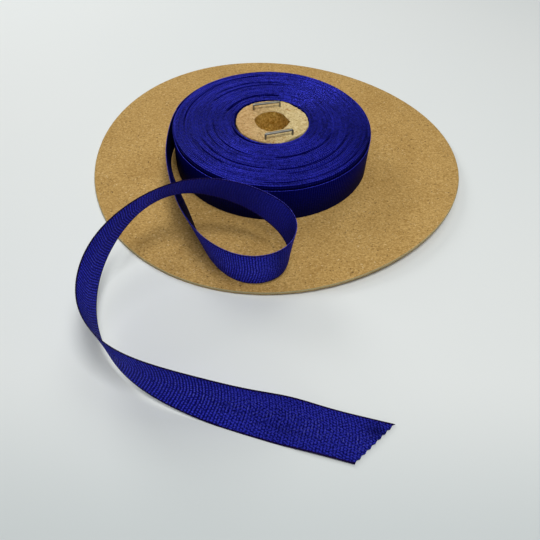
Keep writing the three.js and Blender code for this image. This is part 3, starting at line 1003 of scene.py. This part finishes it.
def spline_at(knots, places):
    """A cubic B-spline whose control rows are the stations, pushed out by what it pulls in."""
    padded = np.vstack([2 * knots[0] - knots[1], knots, 2 * knots[-1] - knots[-2]])
    control = padded[1:-1] * 8 / 6 - padded[:-2] / 6 - padded[2:] / 6
    control = np.vstack([2 * control[0] - control[1], control, 2 * control[-1] - control[-2]])
    span = np.minimum(places.astype(int), len(knots) - 2)
    t = (places - span)[:, None]
    shares = [(1 - t) ** 3, 3 * t ** 3 - 6 * t ** 2 + 4, -3 * t ** 3 + 3 * t ** 2 + 3 * t + 1, t ** 3]
    return sum(share / 6 * control[span + k] for k, share in enumerate(shares))


stations = np.array(list(COURSE.values()), float)
stations[:, :3] *= MM
stations[:, 3:] = np.radians(stations[:, 3:])
dense_places = np.linspace(1, len(stations) - 1, 3001)
dense = spline_at(stations, dense_places)
lengths = np.concatenate([[0], np.cumsum(np.linalg.norm(np.diff(dense[:, :3], axis=0), axis=1))])
TAIL_LENGTH = lengths[-1]
print("loose end is", round(TAIL_LENGTH / MM, 1), "mm long")

# %% [markdown]
# Each point of the sheet is found from its distance along the ribbon and its place across
# it. The ribbon's own frame there gives the three directions: the way it runs, its width
# and its face. Where it is cupped, its width bends round a small circle.

# %% Find any point of the loose end
dense_run = np.gradient(dense[:, :3], axis=0)
dense_run /= np.linalg.norm(dense_run, axis=1)[:, None]


def along_course(values, distance):
    return np.stack([np.interp(distance, lengths, values[:, k]) for k in range(values.shape[1])], axis=-1)


def sheet_points(distance, across, lift):
    """Points at a distance along, a place across and a lift off the middle of the cloth."""
    middle = along_course(dense, distance)
    run = along_course(dense_run, distance)
    inward = np.cross((0, 0, 1.0), run)
    inward /= np.linalg.norm(inward, axis=-1)[..., None]
    upward = np.cross(run, inward)
    lean, cup = middle[..., 3:4], middle[..., 4:5]
    width = np.cos(lean) * upward + np.sin(lean) * inward
    face = np.cos(lean) * inward - np.sin(lean) * upward
    half = np.maximum(cup, 1e-6) / 2
    reach = RIBBON_WIDTH / 2 / half
    t = across[..., None]
    points = middle[..., :3] + width * reach * np.sin(half * t) + face * reach * (np.cos(half * t) - 1)
    points[..., 2] = np.maximum(points[..., 2], lift)
    normal = np.cos(half * t) * face + np.sin(half * t) * width
    return points + normal * lift[..., None], points - normal * lift[..., None]


# %% [markdown]
# The ribs are bowed. Up to about 290 mm along, they lag behind at the lower edge, and from
# about 225 mm on, at the far edge, which is the upper one before the ribbon rolls over. Where
# it comes down on the table, its far edge arches up a little. The cut is slanted, with small
# teeth where threads were pulled.

# %% The sizes of the sheet
TAIL = {
    "thickness": 0.36 * MM,
    "thinner_edge": 0.4,
    "rib": 0.06 * MM,
    "columns_per_rib": 4,
    "across": 25,
    "slant": 10.2 * MM,
    "tooth": 0.5 * MM,
    "above_table": 0.01 * MM,
}
ARCH = {
    "at": 303 * MM,
    "over": 24 * MM,
    "height": 1.6 * MM,
    "drawn_in": 0.13,
    "crown": 0.25,
    "half": 0.75,
}
BOW = {
    "lower": 2.2 * MM,
    "lower_ends": 290 * MM,
    "far": 2.4 * MM,
    "far_starts": 225 * MM,
    "over": 50 * MM,
    "power": 1.3,
    "grows_in": 20 * MM,
}


def rib_lag(distance, across):
    """How far a rib lags behind its middle at a place across the ribbon."""
    lower_share = np.clip((BOW["lower_ends"] - distance) / BOW["over"] + 0.5, 0, 1)
    far_share = np.clip((distance - BOW["far_starts"]) / BOW["over"] + 0.5, 0, 1)
    lower = BOW["lower"] * np.clip(-across, 0, 1) ** BOW["power"] * lower_share
    far = BOW["far"] * np.clip(across, 0, 1) ** BOW["power"] * far_share
    return (lower + far) * np.clip(distance / BOW["grows_in"], 0, 1)


# %% [markdown]
# Each stretch of the cloth looks different, as it turns to the light and away from it. Two
# numbers, set for each stretch, paint that into its colour: lit is painted light and shade,
# which makes the cloth lighter or darker, and ribbed says how clearly its ribs and their
# painted highlights show. The folds are so soft that their shade is painted: they are drawn
# as darker places, by their distance along and their place across.

# %% How the cloth looks along its length
WEAVE = rows(
    "at lit ribbed",
    (0, 0.14, 0.5),
    (9, 0.08, 0.3),
    (30, 0.035, 0.3),
    (42, 0.26, 0.3),
    (52, 0.05, 0.3),
    (64, 0.02, 0.5),
    (76, 0.46, 1.1),
    (92, 0.88, 1.3),
    (104, 1.06, 1.4),
    (115, 0.35, 0.8),
    (125, 0.65, 0.4),
    (137, 1.15, 0.3),
    (150, 0.75, 0.25),
    (162, 0.64, 0.2),
    (182, 0.56, 0.5),
    (197, 1.08, 1.4),
    (214, 1.18, 1.5),
    (233, 0.84, 1.3),
    (246, 0.41, 1.3),
    (262, 0.88, 1.5),
    (284, 0.78, 1.5),
    (300, 0.58, 1.1),
    (312, 0.44, 1),
    (347, 0.43, 1),
)
FOLDS = rows(
    "fold at along across wide darker",
    ("dip by the cut", 342, 3.5, 0.5, 0.3, 0.6),
    ("soft crease", 315, 8, -0.38, 0.09, 0.35),
    ("faint crease", 296, 7, -0.2, 0.08, 0.2),
)
PAINTED_LIT_EDGE = {"shade": 0.5, "ends": 185 * MM, "over": 30 * MM}
print(len(WEAVE), "stretches and", len(FOLDS), "folds")

# %% Spread the points over the sheet
ribs = int(round(TAIL_LENGTH / RIB_PITCH))
distance = np.linspace(0, TAIL_LENGTH + BOW["far"], ribs * TAIL["columns_per_rib"] + 1)
across = np.linspace(-1, 1, TAIL["across"])
distance, across = np.meshgrid(distance, across, indexing="ij")
teeth = (np.arange(TAIL["across"]) % 3) / 2 * TAIL["tooth"]
cut = TAIL_LENGTH - TAIL["slant"] * (1 - across) / 2 - teeth
placed = np.clip(np.minimum(distance - rib_lag(distance, across), cut), 0, None)
print(ribs, "ribs, and", placed.size, "points on each face")

# %% Raise the ribs and the arch
rib_lift = np.cos(2 * math.pi * distance / RIB_PITCH) * TAIL["rib"] / 2
edge_thin = 1 - TAIL["thinner_edge"] * np.abs(across) ** 12
arch_here = np.exp(-(((placed - ARCH["at"]) / ARCH["over"]) ** 2))
drawn_in = across - ARCH["drawn_in"] * arch_here * np.clip(across, 0, 1)
front, back = sheet_points(placed, drawn_in, (TAIL["thickness"] / 2 + rib_lift) * edge_thin)
off_crown = np.clip((across - ARCH["crown"]) / ARCH["half"], -1, 1)
raised = ARCH["height"] * arch_here * np.cos(off_crown * math.pi / 2) ** 2
front[..., 2] += raised
back[..., 2] += raised
below = np.maximum(TAIL["above_table"] - np.minimum(front[..., 2], back[..., 2]), 0)
front[..., 2] += below
back[..., 2] += below
print("highest point", front[..., 2].max().round(5))

# %% Make the loose end
rings = np.concatenate([front, back[:, ::-1]], axis=1) + AXIS
ribbon_tail = skin("loose_ribbon_end", rings, False, tail_material)
# Painted light: the upper edges are pale up to 155 mm, then fade to the dark edge colour, as painted
# shade, where the ribbon lies on the table.
pale = PAINTED_LIT_EDGE["shade"] * np.clip((PAINTED_LIT_EDGE["ends"] - placed) / PAINTED_LIT_EDGE["over"], 0, 1)
kept = {"ribs": distance / RIB_PITCH, "across": across, "shade": pale}
for column in ("lit", "ribbed"):
    kept[column] = np.interp(placed / MM, [row["at"] for row in WEAVE], [row[column] for row in WEAVE])
# Painted shade: each fold darkens lit by its distance along and its place across.
for fold in FOLDS:
    along = (placed / MM - fold["at"]) / fold["along"]
    aside = (across - fold["across"]) / fold["wide"]
    kept["lit"] = kept["lit"] * (1 - fold["darker"] * np.exp(-(along ** 2) - aside ** 2))
for name, values in kept.items():
    store(ribbon_tail, name, np.concatenate([values, values[:, ::-1]], axis=1))
finish_mesh(ribbon_tail, math.radians(70))
ride_and_replace(ribbon_tail, "ribbon_tail")

# %% [markdown]
# ## Table and light
#
# The roll lies on a plain pale surface, whose colour is painted darker towards the front as
# painted shade. The light is soft and comes mostly from above and behind, so the roll's
# front side is dark and its top is bright; the roll's side is also painted darker in its
# colours. A single lamp could not make both the soft shadows and the gleam on the edges of
# the turns. Five are used: a softbox nearly overhead, one in front, two windows behind the
# roll and a weak low one in front, with a little pale sky round everything.

# %% The table
TABLE = {
    "reach": 4.0,
    "cool": (0.77, 0.81, 0.8, 1),
    "warm": (0.81, 0.83, 0.81, 1),
    "front": (0.56, 0.61, 0.61, 1),
    "darkens_from": -0.08,
    "darkest_at": -0.15,
}
table_material, graph = new_material("pale_table")
place = graph.place()
haze = graph.noise(place, 6, 2)
colour = graph.mix(haze, TABLE["cool"], TABLE["warm"])
# Painted shade: the table's colour darkens towards the front.
painted_shade_in_front = 1 - graph.within(graph.coordinate(place, "Y"), TABLE["darkest_at"], TABLE["darkens_from"])
colour = graph.mix(painted_shade_in_front * 0.8, colour, TABLE["front"])
surface(graph, {"Base Color": colour, "Roughness": 0.7, "Specular IOR Level": 0.3})
mesh = bpy.data.meshes.new("table")
reach = TABLE["reach"]
corners = [(-reach, -reach, 0), (reach, -reach, 0), (reach, reach, 0), (-reach, reach, 0)]
mesh.from_pydata(corners, [], [(0, 1, 2, 3)])
mesh.materials.append(table_material)
table = add_object("table", mesh)

# %% The sky
SKY = {"Color": (0.93, 0.97, 1, 1), "Strength": 0.08}
bpy.context.scene.view_settings.view_transform = "Standard"
world = bpy.data.worlds.new("soft_sky")
world.use_nodes = True
world.node_tree.nodes.clear()
graph = Graph(world.node_tree)
sky = graph.node("ShaderNodeBackground", None, SKY)
graph.node("ShaderNodeOutputWorld", None, {"Surface": sky})
bpy.context.scene.world = world
print("world:", world.name)

# %% The lamps
LAMP_DISTANCE = 0.75
LAMPS = rows(
    "name azimuth elevation size watts",
    ("softbox_overhead", 320, 78, 0.22, 2.2),
    ("softbox_front", 280, 64, 0.2, 1.2),
    ("window_behind", 85, 54, 0.4, 1.0),
    ("window_back_left", 126, 28, 0.3, 1.8),
    ("low_window_front", 262, 12, 0.4, 0.6),
)
AIM = Vector((AXIS[0], AXIS[1] - 0.04, 0))
for lamp in LAMPS:
    light = bpy.data.lights.new(lamp["name"], "AREA")
    light.size = lamp["size"]
    light.energy = lamp["watts"]
    up, around = math.radians(lamp["elevation"]), math.radians(lamp["azimuth"])
    way = Vector((math.cos(up) * math.cos(around), math.cos(up) * math.sin(around), math.sin(up)))
    holder = add_object(lamp["name"], light)
    holder.location = AIM + way * LAMP_DISTANCE
    holder.rotation_euler = way.to_track_quat("Z", "Y").to_euler()
    print(lamp["name"], "at", holder.location)
